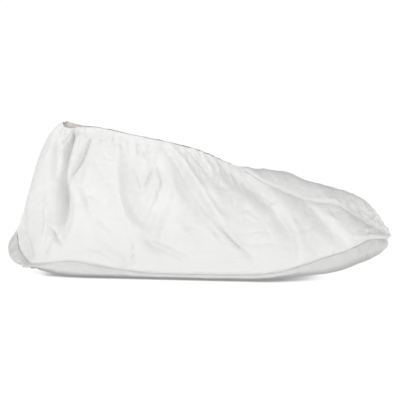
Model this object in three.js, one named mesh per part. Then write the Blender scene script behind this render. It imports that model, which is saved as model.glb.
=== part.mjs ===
// Cleanroom shoe cover: two side panels, a grip sole and an elastic band.
// Millimetres. +X points to the toe, -Y to the near side, +Z up.
// The origin is on the ground under the middle of the cover.
import * as THREE from 'three';
import { mergeVertices } from 'three/addons/utils/BufferGeometryUtils.js';

// ---- Driving dimensions -------------------------------------------------------------------

const CLOTH_WALL = 1.2;        // thickness of the side panels
const SOLE_WALL = 1.4;         // thickness of the coated sole
const TAPE_WALL = 1.0;         // thickness of the elastic tape
const TAPE_WIDTH = 9;          // height of the elastic tape below the rim
const TAPE_CLEARANCE = 2.6;    // from the outside of a panel to the outside of the tape
const TAPE_BACK = 0.6;         // the sections that the tape's loop reaches at the back
const TAPE_FRONT = 10.5;       // and at the front
const SEAM_GAP = 0.45;         // clearance between neighbouring pieces

const STATIONS = 46;           // columns of facets from heel to toe
const PANEL_STEPS = 14;        // facets up a side panel
const CURL_STEPS = 5;          // facets round the turned-up edge of the sole
const FLAT_STEPS = 4;          // facets across the flat of the sole
const TAPE_STATIONS = 64;      // facets round the elastic tape
const TAPE_STEPS = 2;          // facets across the elastic tape

const FLARE = 7;               // how far the panels stand out above the sole seam
const HEEL_HUB = -125;         // the sole's edge curls round this point at the heel
const TOE_HUB = 105;           // and round this one at the toe
const SIDE_CURL = 0.12;        // share of the half width that curls up at the sides
const END_CURL = 0.5;          // share of the length to the hub that curls up at the ends
const SIDE_LIP = 2.5;          // how far the curl stands out past the seam at the sides
const HEEL_LIP = 10;           // the same at the heel
const TOE_LIP = 6;             // and at the toe
const HEEL_SPRING = { start: -118, length: 31, rise: 4, power: 2 };
const TOE_SPRING = { start: 50, length: 96, rise: 10.5, power: 1.4 };

// One row for each cross-section, from the heel seam to the toe seam.
// foot: the seam between panel and sole. top: the near rim, then the seam over the instep.
// mouth, dip: how far the far rim is beyond the near one, and how far below it.
// crown: how far the far panel rises above the instep seam. dome: 0 a tent, 1 a dome.
// push: how far the upper part of the section is pushed towards the toe.
const SECTION_COLUMNS = [
  'footX', 'footHalf', 'footZ', 'topX', 'topY', 'topZ', 'mouth', 'dip', 'crown', 'dome', 'push',
];
const SECTIONS = [
  [-166, 0, 25, -120.5, 0, 131.5, 0, 0, 0, 0.8, -12],
  [-163, 9, 20.5, -118.5, -5, 128, 9, -3.2, 0, 0.7, -11],
  [-157, 18, 13.5, -113, -8, 128, 14, -1.6, 0, 0.6, -8],
  [-148, 26, 10, -105, -10, 128.8, 17, 2.3, 0, 0.45, -5],
  [-132, 34, 12, -93, -12, 128.3, 20, 5.5, 0, 0.3, -2.5],
  [-112, 38.5, 14.3, -79.5, -13, 126, 22, 6.5, 0, 0.2, 0],
  [-89, 41, 11, -63.5, -13.5, 122.5, 23, 7, 0, 0.1, 0],
  [-66, 43, 7.5, -46, -13.5, 118.8, 23, 7, 0, 0.1, 0],
  [-36, 46, 5.2, -25, -13, 114.2, 22, 6.5, 0, 0.1, 0],
  [0, 50, 5.2, -3, -12, 108.2, 19, 5.5, 0, 0.15, 0],
  [36, 54, 5.6, 18, -9.5, 99.8, 12, 4, 0, 0.25, 0],
  [64, 57, 8, 36, -4, 92, 0, 0, 2, 0.4, 0],
  [89, 57, 14.5, 55, -12, 81, 0, 0, 7, 0.6, 0],
  [106, 53, 19.8, 76, -18, 72, 0, 0, 11, 0.8, 0],
  [123, 49, 24.2, 97, -21, 65, 0, 0, 11.3, 0.8, 0],
  [137, 42, 28.6, 117, -21, 62.5, 0, 0, 8.5, 0.8, 1],
  [149, 33, 32.3, 133, -17, 52.5, 0, 0, 11, 0.7, 4],
  [159, 21, 30.4, 150, -10, 39.5, 0, 0, 12, 0.6, 9],
  [166.5, 0, 25.8, 169.5, 0, 30.5, 0, 0, 0, 0.5, 1],
];

// One row for each fold in a panel, from its top end through its middle to its low end.
// The places are those of a side view; depth is how far the cloth is drawn in.
const FOLD_COLUMNS = ['topX', 'topZ', 'midX', 'midZ', 'lowX', 'lowZ', 'depth', 'width'];
const NEAR_FOLDS = [
  [-122, 124, -126, 111, -128, 97, 2.5, 5],
  [-112, 126, -120, 92, -133, 46, 6, 8],
  [-128, 70, -122, 56, -118, 40, 3.5, 9],
  [-95, 120, -101, 103, -116, 89, 3.5, 6],
  [-116, 88, -102, 73, -95, 57, 3, 6],
  [-66, 106, -66, 80, -52, 44, 4.5, 9],
  [-29, 110, 3, 62, 42, 22, 3.5, 6],
  [11, 101, 44, 72, 79, 34, 4.5, 10],
  [89, 66, 106, 47, 122, 30, 2.5, 8],
];
const FAR_FOLDS = [
  [-112, 122, -122, 88, -136, 48, 5, 9],
  [-88, 118, -84, 84, -74, 50, 3.5, 9],
  [-30, 104, -14, 66, 14, 32, 3, 9],
  [22, 94, 46, 66, 70, 36, 3.5, 10],
];

// ---- Reading the tables -------------------------------------------------------------------

// Slope of a column at a row, level wherever the column turns, so that nothing overshoots.
function slopeAt(values, index) {
  if (index === 0 || index === values.length - 1) {
    const inner = index === 0 ? 1 : index - 1;
    return (values[inner] - values[index]) * (index === 0 ? 1 : -1);
  }
  const before = values[index] - values[index - 1];
  const after = values[index + 1] - values[index];
  return before * after <= 0 ? 0 : (2 * before * after) / (before + after);
}

function smoothColumn(values, place) {
  const index = Math.min(Math.floor(place), values.length - 2);
  const t = place - index;
  const start = slopeAt(values, index);
  const end = slopeAt(values, index + 1);
  const rise = values[index + 1] - values[index];
  const bend = t * (1 - t) * (start * (1 - t) - end * t + rise * (2 * t - 1));
  return values[index] + rise * t + bend;
}

const sectionValues = Object.fromEntries(
  SECTION_COLUMNS.map((name, column) => [name, SECTIONS.map((row) => row[column])]),
);
const LAST_SECTION = SECTIONS.length - 1;
const MOUTH_FRONT = 11;        // the section where the opening ends and the instep seam starts

function sectionAt(place) {
  return Object.fromEntries(
    SECTION_COLUMNS.map((name) => [name, smoothColumn(sectionValues[name], place)]),
  );
}

function readFolds(rows) {
  return rows.map((row) => {
    const fold = Object.fromEntries(FOLD_COLUMNS.map((name, column) => [name, row[column]]));
    const path = new THREE.QuadraticBezierCurve(
      new THREE.Vector2(fold.topX, fold.topZ),
      new THREE.Vector2(
        2 * fold.midX - (fold.topX + fold.lowX) / 2,
        2 * fold.midZ - (fold.topZ + fold.lowZ) / 2,
      ),
      new THREE.Vector2(fold.lowX, fold.lowZ),
    );
    return { ...fold, points: path.getPoints(24) };
  });
}

const folds = { near: readFolds(NEAR_FOLDS), far: readFolds(FAR_FOLDS) };

// How far the folds draw in the cloth at a place in the side view.
function foldDepth(rows, x, z) {
  const place = new THREE.Vector2(x, z);
  return rows.reduce((depth, fold) => {
    const nearest = Math.min(...fold.points.map((point) => point.distanceTo(place)));
    return depth + fold.depth * Math.exp(-((nearest / fold.width) ** 2));
  }, 0);
}

// ---- Shape of the cover -------------------------------------------------------------------

// Unit vector that points out of the sole's outline in plan.
function outwardAt(place, side) {
  const step = 0.02;
  const from = sectionAt(Math.max(place - step, 0));
  const to = sectionAt(Math.min(place + step, LAST_SECTION));
  if (place < step) return new THREE.Vector3(-1, 0, 0);
  if (place > LAST_SECTION - step) return new THREE.Vector3(1, 0, 0);
  const alongX = to.footX - from.footX;
  const alongHalf = to.footHalf - from.footHalf;
  return new THREE.Vector3(-alongHalf, side * alongX, 0).normalize();
}

function footPoint(place, side) {
  const row = sectionAt(place);
  return new THREE.Vector3(row.footX, side * row.footHalf, row.footZ);
}

// The four points of the curve that runs up a panel at one section.
function panelCurve(place, side) {
  const row = sectionAt(place);
  const foot = footPoint(place, side);
  const isFar = side > 0;
  const top = new THREE.Vector3(
    row.topX,
    row.topY + (isFar ? row.mouth : 0),
    row.topZ - (isFar ? row.dip : 0),
  );
  const height = top.z - foot.z;
  const across = Math.abs(foot.y - top.y);
  const crown = isFar ? row.crown : 0;
  const crowned = Math.min(crown / 8, 1);
  const flare = FLARE * Math.sin((Math.PI * place) / LAST_SECTION) ** 0.5;
  const low = foot.clone().addScaledVector(outwardAt(place, side), flare);
  low.x += 0.36 * (top.x - foot.x);
  low.z += THREE.MathUtils.lerp(0.35, 0.6, crowned) * height;
  const sideShare = THREE.MathUtils.lerp(THREE.MathUtils.lerp(0.3, 0.62, row.dome), 0.52, crowned);
  const dropShare = THREE.MathUtils.lerp(0.3, 0.1, row.dome) * (1 - crowned);
  const high = top.clone();
  high.x += 0.3 * (foot.x - top.x) + row.push;
  high.y += side * sideShare * across;
  high.z += 2.9 * crown - dropShare * height;
  return new THREE.CubicBezierCurve3(foot, low, high, top);
}

// Points up one panel at one section, drawn in by the folds and clear of its seams.
function panelPoints(place, side) {
  const curve = panelCurve(place, side);
  const trim = SEAM_GAP / 2 / curve.getLength();
  const rows = side < 0 ? folds.near : folds.far;
  const points = [];
  for (let step = 0; step <= PANEL_STEPS; step += 1) {
    const share = THREE.MathUtils.lerp(trim, 1 - trim, step / PANEL_STEPS);
    const point = curve.getPoint(share);
    const tangent = curve.getTangent(share);
    const out = outwardAt(place, side);
    const drawnIn = foldDepth(rows, point.x, point.z) * Math.sin(Math.PI * share) ** 0.5;
    out.addScaledVector(tangent, -out.dot(tangent)).normalize();
    point.addScaledVector(out, -drawnIn * Math.sin((Math.PI * place) / LAST_SECTION) ** 0.5);
    const clear = side * SEAM_GAP / 2;
    if (place === 0 || place === LAST_SECTION) point.y = clear;
    points.push(point);
  }
  return points;
}

function springAt(spring, distance) {
  return distance <= 0 ? 0 : spring.rise * (distance / spring.length) ** spring.power;
}

// Height of the sole's underside.
function keelAt(x) {
  return springAt(HEEL_SPRING, HEEL_SPRING.start - x) + springAt(TOE_SPRING, x - TOE_SPRING.start);
}

// The curve from the seam, out round the lip and in to the flat of the sole.
function curlCurve(place, side) {
  const foot = footPoint(place, side);
  const hubX = THREE.MathUtils.clamp(foot.x, HEEL_HUB, TOE_HUB);
  const reach = hubX < 0 ? footPoint(0, side).x - HEEL_HUB : footPoint(LAST_SECTION, side).x - TOE_HUB;
  const endness = (foot.x - hubX) / reach;
  const flat = foot.clone().lerp(
    new THREE.Vector3(hubX, 0, foot.z),
    THREE.MathUtils.lerp(SIDE_CURL, END_CURL, endness),
  );
  flat.z = keelAt(flat.x);
  const rise = foot.z - flat.z;
  const lip = THREE.MathUtils.lerp(SIDE_LIP, hubX < 0 ? HEEL_LIP : TOE_LIP, endness ** 2);
  const upper = foot.clone().addScaledVector(outwardAt(place, side), lip);
  upper.z -= 0.45 * rise;
  const lower = flat.clone().lerp(foot, 0.55);
  lower.z = flat.z + 0.12 * rise * endness;
  return new THREE.CubicBezierCurve3(foot, upper, lower, flat);
}

// Points across the sole at one section, from the near seam to the far seam.
function solePoints(place) {
  const near = curlCurve(place, -1);
  const far = curlCurve(place, 1);
  const trim = SEAM_GAP / 2 / near.getLength();
  const curl = (curve) => Array.from({ length: CURL_STEPS + 1 }, (_, step) =>
    curve.getPoint(THREE.MathUtils.lerp(trim, 1, step / CURL_STEPS)));
  const nearCurl = curl(near);
  const farCurl = curl(far).reverse();
  const flat = [];
  for (let step = 1; step < FLAT_STEPS; step += 1) {
    flat.push(nearCurl[CURL_STEPS].clone().lerp(farCurl[0], step / FLAT_STEPS));
  }
  return [...nearCurl, ...flat, ...farCurl];
}

// A loop of points inside the rim, a given distance below it.
function tapeLoopPoint(turn, below) {
  const place = THREE.MathUtils.lerp(TAPE_BACK, TAPE_FRONT, (1 - Math.cos(turn)) / 2);
  const [near, far] = [-1, 1].map((side) => {
    const curve = panelCurve(place, side);
    const share = 1 - below / curve.getLength();
    const point = curve.getPoint(share);
    const rows = side < 0 ? folds.near : folds.far;
    point.y -= side * foldDepth(rows, point.x, point.z) * Math.sin(Math.PI * share) ** 0.5;
    return point;
  });
  const middle = near.clone().lerp(far, 0.5);
  const half = near.clone().sub(middle);
  half.setLength(Math.max(half.length() - TAPE_CLEARANCE, 0.8));
  const swing = Math.sin(turn);
  const rounded = Math.sign(swing) * Math.abs(swing) ** 0.45;
  return middle.addScaledVector(half, rounded);
}

// ---- Turning grids of points into closed walls ----------------------------------------------

// A ring's first and last rows are the same row.
function gridNormals(grid, outwardSign, isRing = false) {
  const lastRow = grid.length - 1;
  const rowAfter = (row) => (isRing && row === lastRow ? 1 : Math.min(row + 1, lastRow));
  const rowBefore = (row) => (isRing && row === 0 ? lastRow - 1 : Math.max(row - 1, 0));
  return grid.map((points, row) => points.map((point, column) => {
    const along = grid[rowAfter(row)][column].clone().sub(grid[rowBefore(row)][column]);
    const across = points[Math.min(column + 1, points.length - 1)].clone()
      .sub(points[Math.max(column - 1, 0)]);
    return along.cross(across).multiplyScalar(outwardSign).normalize();
  }));
}

// Gives two edges that meet along a seam the same mitre, so that their walls keep clear.
function mitre(firstNormals, secondNormals) {
  firstNormals.forEach((normal, index) => {
    const shared = normal.clone().add(secondNormals[index]).normalize();
    normal.copy(shared);
    secondNormals[index].copy(shared);
  });
}

// A closed wall from a grid of outside points. openEdges says which edges of the grid are
// real edges: 'all' four, or only the 'sides' where the ends close on themselves.
function wallGeometry(grid, normals, wall, outwardSign, openEdges) {
  const rows = grid.length;
  const columns = grid[0].length;
  const positions = [];
  grid.forEach((points) => points.forEach((point) => positions.push(...point.toArray())));
  grid.forEach((points, row) => points.forEach((point, column) => {
    positions.push(...point.clone().addScaledVector(normals[row][column], -wall).toArray());
  }));
  const outside = (row, column) => row * columns + column;
  const inside = (row, column) => rows * columns + outside(row, column);
  const triangles = [];
  const addQuad = (a, b, c, d) => {
    triangles.push(...(outwardSign > 0 ? [a, b, c, a, c, d] : [a, c, b, a, d, c]));
  };
  for (let row = 0; row < rows - 1; row += 1) {
    for (let column = 0; column < columns - 1; column += 1) {
      addQuad(
        outside(row, column), outside(row + 1, column),
        outside(row + 1, column + 1), outside(row, column + 1),
      );
      addQuad(
        inside(row, column), inside(row, column + 1),
        inside(row + 1, column + 1), inside(row + 1, column),
      );
    }
    const end = columns - 1;
    addQuad(inside(row, 0), inside(row + 1, 0), outside(row + 1, 0), outside(row, 0));
    addQuad(outside(row, end), outside(row + 1, end), inside(row + 1, end), inside(row, end));
  }
  if (openEdges === 'all') {
    const end = rows - 1;
    for (let column = 0; column < columns - 1; column += 1) {
      addQuad(
        inside(0, column + 1), inside(0, column), outside(0, column), outside(0, column + 1),
      );
      addQuad(
        outside(end, column + 1), outside(end, column), inside(end, column), inside(end, column + 1),
      );
    }
  }
  const geometry = new THREE.BufferGeometry();
  geometry.setAttribute('position', new THREE.Float32BufferAttribute(positions, 3));
  geometry.setIndex(triangles);
  return dropFlatTriangles(mergeVertices(geometry, 1e-3));
}

function dropFlatTriangles(geometry) {
  const kept = [];
  const index = geometry.getIndex().array;
  for (let corner = 0; corner < index.length; corner += 3) {
    const [a, b, c] = index.slice(corner, corner + 3);
    if (a !== b && b !== c && c !== a) kept.push(a, b, c);
  }
  geometry.setIndex(kept);
  geometry.computeVertexNormals();
  return geometry;
}

// ---- The pieces ---------------------------------------------------------------------------

const places = Array.from({ length: STATIONS + 1 }, (_, i) => (LAST_SECTION * i) / STATIONS);
const nearGrid = places.map((place) => panelPoints(place, -1));
const farGrid = places.map((place) => panelPoints(place, 1));
const soleGrid = places.map((place) => solePoints(place));
const nearNormals = gridNormals(nearGrid, 1);
const farNormals = gridNormals(farGrid, -1);
const soleNormals = gridNormals(soleGrid, -1);

const lastAcross = soleGrid[0].length - 1;
for (const end of [0, STATIONS]) {
  const inner = end === 0 ? 1 : STATIONS - 1;
  soleNormals[end].forEach((normal, across) => {
    const mirrored = soleNormals[end][lastAcross - across];
    if (across >= CURL_STEPS && across <= lastAcross - CURL_STEPS) {
      normal.copy(soleNormals[inner][(lastAcross + 1) >> 1]);
    }
    normal.y = 0;
    mirrored.y = 0;
    normal.normalize();
  });
  for (let step = 0; step <= PANEL_STEPS; step += 1) {
    mitre([nearNormals[end][step]], [farNormals[end][step]]);
  }
}
places.forEach((place, station) => {
  const nearFoot = [nearNormals[station][0]];
  const farFoot = [farNormals[station][0]];
  mitre(nearFoot, [soleNormals[station][0]]);
  mitre(farFoot, [soleNormals[station][lastAcross]]);
  if (place > MOUTH_FRONT - 1) mitre([nearNormals[station][PANEL_STEPS]], [farNormals[station][PANEL_STEPS]]);
});

const tapeGrid = Array.from({ length: TAPE_STATIONS + 1 }, (_, station) => {
  const turn = (2 * Math.PI * (station % TAPE_STATIONS)) / TAPE_STATIONS;
  return Array.from({ length: TAPE_STEPS + 1 }, (__, step) =>
    tapeLoopPoint(turn, 1 + (TAPE_WIDTH * step) / TAPE_STEPS));
});

const upperCloth = { color: 0xf1f3f5, roughness: 0.75, metalness: 0 };
const gripCloth = { color: 0xd9dcdd, roughness: 0.5, metalness: 0 };
const elasticTape = { color: 0xd9cdc6, roughness: 0.85, metalness: 0 };

function addPiece(group, name, geometry, finish) {
  const mesh = new THREE.Mesh(geometry, new THREE.MeshStandardMaterial(finish));
  mesh.name = name;
  group.add(mesh);
}

const shoeCover = new THREE.Group();
addPiece(
  shoeCover, 'side_panel_near',
  wallGeometry(nearGrid, nearNormals, CLOTH_WALL, 1, 'all'), upperCloth,
);
addPiece(
  shoeCover, 'side_panel_far',
  wallGeometry(farGrid, farNormals, CLOTH_WALL, -1, 'all'), upperCloth,
);
addPiece(
  shoeCover, 'sole',
  wallGeometry(soleGrid, soleNormals, SOLE_WALL, -1, 'sides'), gripCloth,
);
addPiece(
  shoeCover, 'elastic_band',
  wallGeometry(tapeGrid, gridNormals(tapeGrid, -1, true), TAPE_WALL, -1, 'sides'), elasticTape,
);

// Brings the ground centre of the whole cover to the origin.
const box = new THREE.Box3().setFromObject(shoeCover);
const middle = box.getCenter(new THREE.Vector3());
shoeCover.position.set(-middle.x, -middle.y, -box.min.z);

export default shoeCover;
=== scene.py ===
"""Cleanroom shoe cover: cloth panels, grip sole, elastic tape and sewing thread.

+X is to the toe, -Y to the near side and +Z up. The cut, the folds and the grids of points are
in millimetres; pieces and materials are in metres, where MM stands for a millimetre.
"""
import functools
import math

import bpy
import numpy as np
from bpy.props import FloatProperty, FloatVectorProperty, PointerProperty
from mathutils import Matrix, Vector


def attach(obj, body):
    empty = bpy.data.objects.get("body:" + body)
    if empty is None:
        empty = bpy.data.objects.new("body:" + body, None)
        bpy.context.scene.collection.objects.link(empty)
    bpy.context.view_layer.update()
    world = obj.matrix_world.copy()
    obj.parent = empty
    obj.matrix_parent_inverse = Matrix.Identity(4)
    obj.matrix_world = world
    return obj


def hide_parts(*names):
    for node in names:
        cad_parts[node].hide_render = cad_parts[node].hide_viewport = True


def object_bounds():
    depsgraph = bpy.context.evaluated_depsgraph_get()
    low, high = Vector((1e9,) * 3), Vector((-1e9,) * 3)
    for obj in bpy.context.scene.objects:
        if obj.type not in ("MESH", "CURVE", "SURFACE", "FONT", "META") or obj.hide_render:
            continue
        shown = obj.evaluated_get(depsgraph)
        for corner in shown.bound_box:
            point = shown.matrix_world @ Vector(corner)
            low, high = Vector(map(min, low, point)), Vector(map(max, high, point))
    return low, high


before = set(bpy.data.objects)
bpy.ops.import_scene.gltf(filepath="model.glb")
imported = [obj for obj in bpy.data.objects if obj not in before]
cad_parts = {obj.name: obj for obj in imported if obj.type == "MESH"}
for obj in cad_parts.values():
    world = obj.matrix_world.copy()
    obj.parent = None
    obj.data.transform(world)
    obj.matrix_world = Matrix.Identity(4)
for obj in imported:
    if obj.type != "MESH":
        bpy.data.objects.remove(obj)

bl_info = {
    "name": "Cleanroom shoe cover",
    "version": (1, 0, 0),
    "blender": (4, 5, 0),
    "location": "3D View > Sidebar > Shoe cover",
    "description": "Sews a nonwoven shoe cover round its solid frame and sets up a studio",
    "category": "Object",
}

CAD_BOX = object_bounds()
MM = 0.001

# ---- The cut of the cover ----
# One row for each cross-section, from the heel seam to the toe seam, in millimetres.
# foot: the seam between panel and sole. top: the near rim, then the seam over the instep.
# mouth, dip: how far the far rim is beyond the near one, and how far below it.
# crown: how far the far panel rises above the instep seam. dome: 0 a tent, 1 a dome.
# push: how far the upper part of the section is pushed towards the toe.
SECTION_COLUMNS = (
    "foot_x", "foot_half", "foot_z", "top_x", "top_y", "top_z",
    "mouth", "dip", "crown", "dome", "push",
)
SECTIONS = np.array([
    (-162.5, 0, 34.5, -120.5, 0, 131.5, 0, 0, 0, 0.8, -12),
    (-160.5, 9, 23, -118.5, -5, 128, 9, -3.2, 0, 0.7, -11),
    (-154, 18, 13.5, -113, -8, 128, 14, -1.6, 0, 0.6, -8),
    (-148, 26, 10, -105, -10, 127.9, 17, 0.3, 0, 0.45, -5),
    (-132, 34, 12, -93, -12, 128.1, 20, 2.2, 0, 0.3, -2.5),
    (-112, 38.5, 14.3, -79.5, -13, 126, 22, 2.4, 0, 0.2, 0),
    (-89, 41, 11, -63.5, -13.5, 122.5, 23, 2.7, 0, 0.1, 0),
    (-66, 43, 7.5, -46, -13.5, 118.8, 23, 2.7, 0, 0.1, 0),
    (-36, 46, 5.2, -25, -13, 114.2, 22, 2.5, 0, 0.1, 0),
    (0, 50, 5.2, -3, -12, 108.2, 19, 2.3, 0, 0.15, 0),
    (36, 54, 5.6, 18, -9.5, 99.8, 12, 1.4, 0, 0.25, 0),
    (64, 57, 8, 36, -4, 92, 0, 0, 4.4, 0.4, 0),
    (89, 57, 14.5, 55, -12, 81, 0, 0, 9, 0.6, 0),
    (106, 53, 19.8, 76, -18, 72, 0, 0, 12, 0.8, 0),
    (123, 49, 24.2, 97, -21, 65, 0, 0, 11.3, 0.8, 0),
    (137, 42, 28.6, 117, -21, 62.5, 0, 0, 8.5, 0.8, 1),
    (149, 33, 32.3, 133, -17, 52.5, 0, 0, 10.3, 0.7, 4),
    (159, 21, 30.4, 150, -10, 39.5, 0, 0, 7.5, 0.6, 9),
    (166.5, 0, 25.8, 169.5, 0, 30.5, 0, 0, 0, 0.5, 1),
])
LAST_SECTION = len(SECTIONS) - 1
MOUTH_FRONT = 11               # the section where the opening ends and the instep seam starts
NEAR, FAR = -1, 1

FLARE = 7                      # how far the panels stand out above the sole seam
# A section is a curve of four points: foot, low, high and top. How far the two in the middle are
# on the way to the other end: along the cover, up or down, and out; for a tent, dome or crown.
LOW_ALONG, HIGH_ALONG = 0.36, 0.3
LOW_UP, CROWN_LOW_UP = 0.35, 0.6
TENT_DROP, DOME_DROP = 0.3, 0.1
TENT_CREST, DOME_CREST, CROWN_CREST = 0.3, 0.62, 0.52
CROWN_LIFT = 2.9               # how far the high point goes up for each millimetre of crown
FULL_CROWN = 8                 # the crown from which a section is fully rounded

# The sole's edge curls round two hubs at its ends. curl: the share of the way to the hub that
# curls up. lip: how far the curl stands out. drop: how low on the curl it does so.
HEEL_HUB, TOE_HUB = -125, 105
SIDE_CURL, HEEL_CURL, TOE_CURL = 0.12, 0.5, 0.38
SIDE_LIP, HEEL_LIP, TOE_LIP = 2.5, 21, 1.5
SIDE_DROP, HEEL_DROP, TOE_DROP = 0.45, 0.95, 0.55
CURL_FOOT, CURL_SWELL = 0.55, 0.12   # how wide the curl's lower part is, and how full
# Where the sole starts to rise from the floor, over what length, how much, with what power.
HEEL_SPRING = (-96, 53, 5.5, 1.6)
TOE_SPRING = (40, 112, 9.7, 1.2)

# ---- Folds ----
# kind, depth and width in millimetres, then the places along the fold in a side view. A
# negative width turns a one-sided fold the other way round.
NEAR_FOLDS = [
    ("valley", 3.4, 2.8, (-123, 126), (-126, 112), (-127, 101), (-128, 86)),
    ("ridge", 1.6, 3.0, (-117, 125), (-120, 110), (-123, 97), (-127, 80)),
    ("slump", 11, 4.2, (-109, 131), (-113, 116), (-117, 100), (-118, 88), (-119.5, 73),
     (-120, 58), (-124, 42)),
    ("slump", 4.6, 5.0, (-117, 84), (-115, 74), (-113.5, 64), (-114, 53), (-117, 40)),
    ("valley", 4.2, 6.5, (-120, 82), (-120, 64), (-121, 44), (-125, 30)),
    ("crease", 2.2, 1.5, (-115, 131), (-112, 123), (-113, 115)),
    ("ridge", 2.4, 1.8, (-133, 68), (-133.5, 54), (-134, 43), (-136, 32)),
    ("crease", 3.4, 1.4, (-133, 45), (-128, 36), (-120, 28)),
    ("valley", 4.5, 3.6, (-160, 52), (-157, 37), (-152, 24), (-146, 14)),
    ("valley", 2.8, 3.4, (-129, 41), (-133, 31), (-137, 20)),
    ("crease", 3.2, 1.6, (-111, 129), (-113, 116), (-117, 102), (-117, 88)),
    ("ridge", 1.4, 4.2, (-103, 124), (-106, 112), (-111, 99)),
    ("tuck", 1.5, 2.4, (-94, 121), (-98, 111), (-102, 102), (-107, 93), (-113, 83)),
    ("crease", 2.6, 1.4, (-93, 123), (-98, 111), (-102, 102), (-107, 93), (-113, 83),
     (-118, 76)),
    ("ridge", 1.5, 4.0, (-88, 120), (-93, 103), (-96, 90)),
    ("crease", 1.9, 1.7, (-100, 103), (-101, 90), (-103, 77)),
    ("crease", 2.0, 1.3, (-104, 80), (-99, 68), (-95, 56)),
    ("crease", 1.5, 1.2, (-95, 56), (-92, 65)),
    ("crease", 0.8, 1.3, (-95, 57), (-90, 46)),
    ("crease", 1.0, 1.2, (-101, 76), (-96, 71), (-91, 74)),
    ("step", 5.4, 3.0, (-70, 110), (-71, 96), (-70, 80), (-67, 66), (-61, 52), (-51, 40)),
    ("crease", 1.4, 1.3, (-71, 104), (-70, 84), (-66, 66), (-59, 50), (-50, 38)),
    ("valley", 4.6, 7.0, (-62, 102), (-56, 86), (-51, 70), (-48, 52)),
    ("crease", 2.6, 1.7, (-58, 95), (-53, 84), (-50, 74)),
    ("crease", 2.8, 1.7, (-50, 74), (-47, 82), (-43, 89), (-38, 99)),
    ("crease", 1.2, 1.2, (-49, 87), (-47, 82), (-44, 86)),
    ("ridge", 2.0, 3.6, (-50, 108), (-48, 98), (-47, 90)),
    ("crease", 2.4, 1.4, (-54, 118), (-53, 110), (-54, 102)),
    ("crease", 1.8, 1.4, (-43, 115), (-46, 108), (-48, 102)),
    ("tuck", 2.5, 2.4, (-37, 102), (-34, 90), (-32, 82), (-36, 72), (-42, 60), (-48, 50)),
    ("ridge", 1.8, 4.0, (-26, 94), (-22, 82), (-22, 66)),
    ("valley", 4.2, 6.0, (-27, 80), (-32, 65), (-39, 48), (-42, 35)),
    ("tuck", 5.0, -3.0, (-32, 112), (-19, 97), (-9, 82), (0, 69), (8, 58), (17, 47)),
    ("valley", 4.4, 5.5, (-24, 96), (-12, 78), (0, 62), (8, 51)),
    ("crease", 1.7, 1.7, (8, 58), (17, 47), (27, 36), (36, 28), (43, 21), (51, 12)),
    ("tuck", 2.0, -1.8, (14, 50), (24, 39), (34, 29), (42, 21)),
    ("crease", 1.8, 1.5, (6, 50), (13, 42), (21, 33)),
    ("tuck", 3.0, -1.6, (-14, 113), (-5, 104), (3, 95), (8, 86)),
    ("tuck", 2.2, -1.5, (-2, 108), (3, 99), (10, 88)),
    ("ridge", 2.0, 5.0, (2, 84), (10, 76), (20, 66)),
    ("valley", 3.7, 7.0, (14, 98), (30, 87), (48, 76), (60, 67), (70, 57), (77, 46)),
    ("slump", 4.3, 4.2, (64, 62), (72, 52), (77.5, 44), (80, 35), (80.5, 20)),
    ("ridge", 0.9, 6.0, (58, 78), (70, 66), (82, 56)),
    ("slump", 2.3, 3.8, (90, 67), (100, 58), (109, 50), (117, 43), (124, 35), (130, 27)),
    ("ridge", 2.0, 3.5, (-92, 28), (-83, 25), (-74, 20), (-60, 12)),
    ("valley", 1.8, 3.2, (-104, 22), (-90, 21), (-78, 14)),
    ("crease", 2.0, 1.3, (-58, 38), (-58, 24), (-57, 9)),
    ("valley", 3.2, 2.6, (-50, 36), (-39, 31), (-27, 26), (-10, 17)),
    ("ridge", 1.8, 4.0, (-50, 27), (-42, 22), (-30, 15)),
    ("tuck", 0.7, 1.8, (133, 40), (142, 43), (152, 45), (160, 40)),
    ("crease", 1.2, 1.3, (143, 37), (154, 38), (165, 32)),
    ("ridge", 1.6, 2.0, (134, 36), (146, 36), (158, 35)),
    ("crease", 0.9, 1.3, (131, 33), (142, 33), (155, 32)),
]
# On the far panel the second number is the height of the seam or rim less the way down the
# cloth from it.
FAR_FOLDS = [
    ("valley", 3.5, 7.0, (-112, 122), (-122, 88), (-136, 44)),
    ("tuck", 3.0, 5.0, (-88, 118), (-84, 84), (-74, 40)),
    ("valley", 2.8, 8.0, (-58, 112), (-56, 80), (-66, 46)),
    ("tuck", 2.6, 5.0, (-30, 104), (-14, 66), (10, 22)),
    ("crease", 1.6, 2.2, (-6, 104), (6, 80), (24, 56)),
    ("valley", 3.2, 9.0, (22, 94), (46, 60), (62, 20)),
    ("crease", 1.6, 2.0, (58, 56), (66, 40), (72, 12)),
    ("valley", 1.0, 7.0, (84, 44), (96, 24), (104, 0)),
    ("crease", 0.9, 1.5, (104, 66), (110, 56), (112, 44)),
    ("tuck", 0.5, 1.8, (110, 64), (116, 50), (118, 36)),
    ("tuck", 1.1, -1.8, (120, 62), (125, 46), (129, 34)),
    ("crease", 1.4, 1.4, (128, 56), (133, 42), (138, 28)),
    ("tuck", 1.3, -1.7, (134, 50), (141, 38), (147, 24)),
    ("crease", 1.4, 1.4, (140, 46), (147, 33), (153, 20)),
    ("tuck", 1.2, 1.6, (146, 42), (153, 30), (158, 18)),
    ("crease", 1.1, 1.4, (151, 38), (158, 28), (163, 18)),
    ("crease", 1.0, 1.3, (156, 35), (162, 27), (165, 20)),
]


def valley(across):
    return -np.exp(-across ** 2)


def ridge(across):
    return np.exp(-across ** 2)


def crease(across):
    """A sharp line with straight sides."""
    return -np.exp(-1.6 * (np.sqrt(across ** 2 + 0.06) - 0.245))


def tuck(across):
    """A valley with a lower ridge on its left."""
    return 0.6 * np.exp(-(across + 1.7) ** 2) - np.exp(-across ** 2)


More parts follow.
